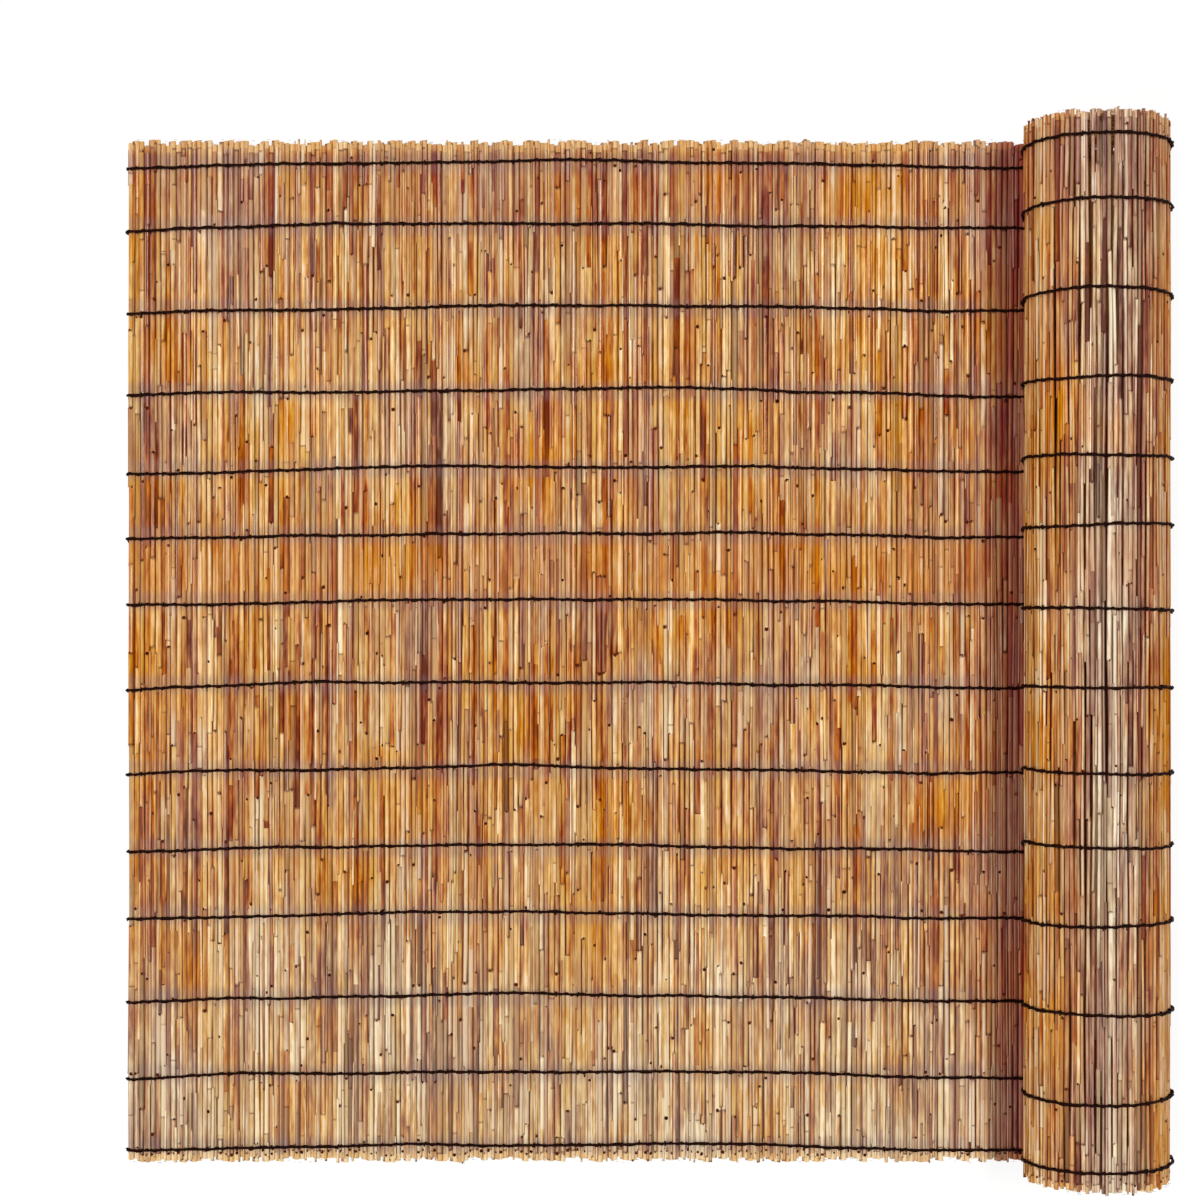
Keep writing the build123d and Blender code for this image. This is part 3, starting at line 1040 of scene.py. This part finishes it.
def build_reeds():
    """All reeds, flat and rolled. Returns where the first one lies."""
    stalks, reed_skin = stalk_tree(), reed_finish()
    stalk = turned(
        "stalk_shape",
        [(0, 0), (0, 1.1), (0.02, 1.0), (0.5, 0.96), (0.985, 0.99), (1, 1.08), (1, 0)],
        sides=9,
    )
    mouth = turned("mouth_shape", [(0, 0.6), (0, 1), (1, 0.98), (1, 0.62)], sides=8, closed=True)
    thin = turned(
        "thin_shape",
        [(0.02, 0), (0.02, 0.55), (0, 0.6), (0, 1), (0.5, 0.9), (1, 0.75), (1, 0.45), (0.98, 0.4), (0.98, 0)],
        sides=8,
    )
    under, scar = under_shape(), scar_shape()

    common = {
        "Stalk": stalk,
        "Mouth": mouth,
        "Scar": scar,
        "Joints": 16,
        "Shortest": JOINT_NEAR,
        "Longest": JOINT_FAR,
        "Mouth Depth": MOUTH_DEPTH,
        "Share Kept": 1.0,
        "Scar Share": 0.72,
        "Wobble": 0.003,
        "Lean": 0.004,
        "Finish": reed_skin,
    }
    loose = {"Stalk": thin, "Share Kept": 0.48, "Scar Share": 0.12, "Mouth Depth": 0.0, "Lean": 0.009}
    below = {"Stalk": under, "Joints": 5, "Shortest": 0.3, "Longest": 0.5, "Wobble": 0.0006}
    below = {**below, "Scar Share": 0.0, "Mouth Depth": 0.0}
    inner = {"Joints": 1, "Shortest": 1.0, "Longest": 1.0, "Scar Share": 0.0, "Lean": 0.0}
    on_roll = {"Wobble": 0.006, "Lean": 0.008}

    outer_turn = math.pi * (2 * first_radius - TURN_PITCH / 2)
    whole_roll = sum(math.pi * (first_radius - k * TURN_PITCH / 2) for k in range(HALF_TURNS))
    flat = flat_reeds(seed=3)
    outer = rolled_reeds(0.0, outer_turn, SPREAD_REED, True, seed=5)
    core = rolled_reeds(outer_turn, whole_roll, CORE_REED, False, seed=6)
    pieces = {
        "flat_reeds": (flat, {"Seed": 11}, reed_nodes),
        "flat_thin_reeds": (groove_reeds(flat, seed=7), {**loose, "Seed": 23}, []),
        "flat_under_reeds": (under_reeds(flat), {**below, "Seed": 29}, []),
        "roll_outer_reeds": (outer, {**on_roll, "Seed": 37}, ["rolled_turns"]),
        "roll_thin_reeds": (groove_reeds(outer, seed=9), {**loose, "Seed": 41, "Lean": 0.014}, []),
        "roll_inner_reeds": (core, {**inner, "Seed": 53}, []),
    }
    for name, (reeds, sizes, nodes) in pieces.items():
        piece = grow(name, reed_starts(name, reeds), stalks, {**common, **sizes})
        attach(piece, "root")
        if nodes:
            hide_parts(*nodes)
    for shape in (stalk, mouth, thin, under, scar):
        bpy.data.objects.remove(shape)
    return flat[0]["x"]


def build_wires(first_reed):
    """The binding wires: the upper ones on the flat, the lower ones under it and round the roll."""
    wires, coated, knot = wire_tree(), wire_finish(), knot_shape()
    solid_radius = (upper_high.y - upper_low.y) / 2
    reach = upper_high.z - mat_middle - 2 * solid_radius + WIRE_RADIUS
    upper_path = straight(roll_middle, first_reed, mat_middle + reach)
    upper_path += bow(first_reed, mat_middle, reach, math.pi, 2 * math.pi, 8)[1:]
    upper_path += straight(first_reed, first_reed + WIRE_LAP, mat_middle - reach)[1:]
    right = mat_middle + first_radius
    left = right + TURN_PITCH / 2
    outside = first_radius + reach
    lower_path = straight(mat_start, roll_middle, mat_middle - reach)
    lower_path += bow(roll_middle, right, outside, 0.0, math.pi, 48)[1:]
    lower_path += bow(roll_middle, left, outside - TURN_PITCH / 2, math.pi, 2 * math.pi - NIP_ANGLE, 46)[1:]
    sizes = {
        "Knot": knot,
        "Wire Radius": WIRE_RADIUS,
        "Strand Radius": STRAND_RADIUS,
        "Strand Turn": STRAND_TURN,
        "Knot Step": KNOT_STEP,
        "Wander": WIRE_WANDER,
        "Finish": coated,
    }
    for name, nodes, path, seed in (
        ("upper_wires", upper_nodes, upper_path, 3),
        ("lower_wires", lower_nodes, lower_path, 4),
    ):
        piece = grow(name, wire_lines(name, row_heights(nodes), path), wires, {**sizes, "Seed": seed})
        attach(piece, "root")
        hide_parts(*nodes)
    bpy.data.objects.remove(knot)


def seen_directly(tree):
    """1 for what is seen, also in a reflection or through glass, and 0 for light that falls on things."""
    rays = ["Is Camera Ray", "Is Glossy Ray", "Is Transmission Ray"]
    return reduce(Value.most, tree.node("ShaderNodeLightPath", {}, (), rays))


def pale_floor():
    """A floor that is nearly white to the eye and keeps the mat's shadow."""
    far = FLOOR_REACH
    mesh = bpy.data.meshes.new("floor")
    mesh.from_pydata([(-far, -far, 0), (far, -far, 0), (far, far, 0), (-far, far, 0)], [], [(0, 1, 2, 3)])
    floor = link("floor", mesh)
    floor.location.z = cad_box[0].z - FLOOR_GAP
    finish, tree = material("pale floor")
    grey = (FLOOR_GREY, FLOOR_GREY, FLOOR_GREY, 1)
    matte = tree.node("ShaderNodeBsdfDiffuse", {}, {"Color": grey})
    white = tree.node("ShaderNodeEmission", {}, {"Color": WHITE, "Strength": FLOOR_GLOW})
    surface(tree, tree.node("ShaderNodeMixShader", {}, [seen_directly(tree) * FLOOR_WHITE, matte, white]))
    floor.data.materials.append(finish)


def studio():
    """A pale floor, a soft room and two lamps: one above the roll's side, and a softer one on the left."""
    scene = bpy.context.scene
    scene.view_settings.view_transform = "Standard"
    pale_floor()

    world = bpy.data.worlds.new("room")
    world.use_nodes = True
    world.node_tree.nodes.clear()
    tree = Tree(world.node_tree)
    soft = tree.node("ShaderNodeBackground", {}, {"Color": ROOM_TINT, "Strength": ROOM_LIGHT})
    white = tree.node("ShaderNodeBackground", {}, {"Color": WHITE, "Strength": 1.0})
    room = tree.node("ShaderNodeMixShader", {}, [seen_directly(tree), soft, white])
    tree.node("ShaderNodeOutputWorld", {}, {"Surface": room})
    scene.world = world

    for name, (energy, spread, to_right, to_top) in LAMPS.items():
        lamp = bpy.data.lights.new(name, "SUN")
        lamp.energy = energy
        lamp.angle = math.radians(spread)
        lamp.color = LAMP_TINT
        towards = Vector((math.tan(math.radians(to_right)), math.tan(math.radians(to_top)), 1))
        link(name, lamp).rotation_euler = towards.to_track_quat("Z", "Y").to_euler()


def viewpoint():
    """The photograph's camera: straight above the mat, with the frame shifted up from its middle."""
    camera = bpy.data.cameras.new("camera")
    camera.sensor_width = SENSOR
    camera.lens = SENSOR * CAMERA_HEIGHT / (IMAGE_HEIGHT * METRES_PER_PIXEL)
    camera.shift_y = (MAT_MIDDLE_PIXEL - IMAGE_HEIGHT / 2) / IMAGE_HEIGHT
    across = (IMAGE_WIDTH / 2 - LEFT_EDGE_PIXEL) * METRES_PER_PIXEL
    camera_object = link("camera", camera)
    camera_object.location = (mat_start + across, 0, CAMERA_HEIGHT)
    bpy.context.scene.camera = camera_object


build_wires(build_reeds())
studio()
viewpoint()
